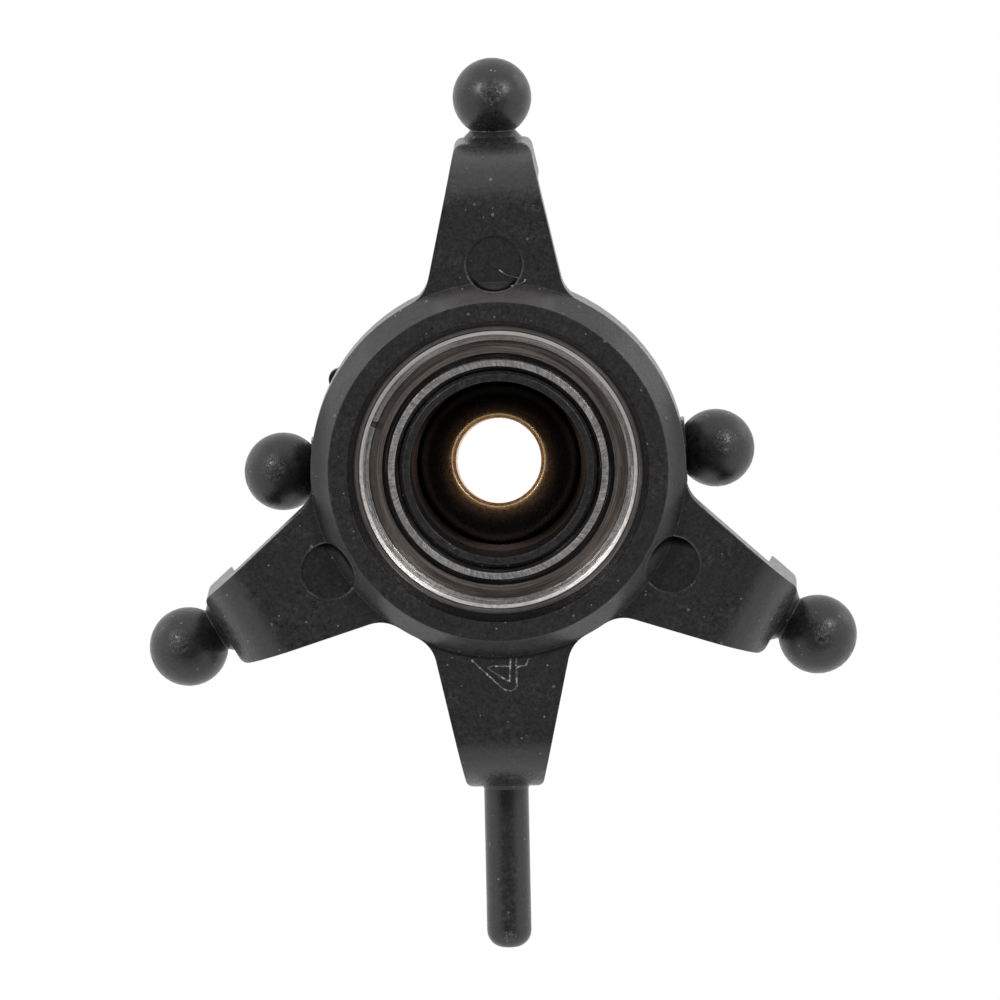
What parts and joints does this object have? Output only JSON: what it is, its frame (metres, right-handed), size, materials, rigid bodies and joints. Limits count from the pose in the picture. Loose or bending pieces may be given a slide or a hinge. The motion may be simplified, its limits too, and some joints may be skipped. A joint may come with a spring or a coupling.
{
  "type": "helicopter swashplate",
  "caption": "Two-plate swashplate with a shielded ball bearing, a tilting brass centre ball on a mast bore, link balls on both plates and an anti-rotation pin.",
  "frame": {"origin": "centre of the brass centre ball, on which both plates tilt", "axes": "+Z along the bearing axis towards the rotor head, +Y along the front servo arm, -Y along the anti-rotation pin"},
  "size_m": [0.025, 0.0317, 0.0073],
  "materials": {
    "lower_nylon": "moulded black nylon",
    "upper_nylon": "moulded black nylon",
    "brass": "turned brass",
    "race_steel": "ground bearing steel",
    "shield_steel": "pressed sheet",
    "wire_steel": "spring wire",
    "cage_steel": "pressed sheet",
    "ball_steel": "polished"
  },
  "bodies": {
    "fixed_plate": {"lower_plate": "lower_nylon", "bearing_outer_race": "race_steel", "bearing_shield_lower": "shield_steel", "bearing_shield_upper": "shield_steel", "snap_ring_lower": "wire_steel", "snap_ring_upper": "wire_steel"},
    "rotor_plate": {"upper_plate": "upper_nylon", "bearing_inner_race": "race_steel"},
    "ball_set": {"bearing_cage": "cage_steel", "bearing_ball_01": "ball_steel", "bearing_ball_02": "ball_steel", "bearing_ball_03": "ball_steel", "bearing_ball_04": "ball_steel", "bearing_ball_05": "ball_steel", "bearing_ball_06": "ball_steel", "bearing_ball_07": "ball_steel", "bearing_ball_08": "ball_steel", "bearing_ball_09": "ball_steel", "bearing_ball_10": "ball_steel", "bearing_ball_11": "ball_steel"},
    "mast_ball": {"centre_ball": "brass"}
  },
  "joints": [
    {"name": "rotor_spin", "type": "hinge", "parent": "fixed_plate", "child": "rotor_plate", "pos_m": [0, 0, 0], "axis": [0, 0, 1], "continuous": true},
    {"name": "ball_set_orbit", "type": "hinge", "parent": "fixed_plate", "child": "ball_set", "pos_m": [0, 0, 0], "axis": [0, 0, 1], "continuous": true},
    {"name": "mast_tilt", "type": "hinge", "parent": "rotor_plate", "child": "mast_ball", "pos_m": [0, 0, 0], "axis": [1, 0, 0], "range_deg": [-17, 7]}
  ],
  "couplings": [
    {"joint": "ball_set_orbit", "follows": "rotor_spin", "ratio": 0.43389}
  ]
}
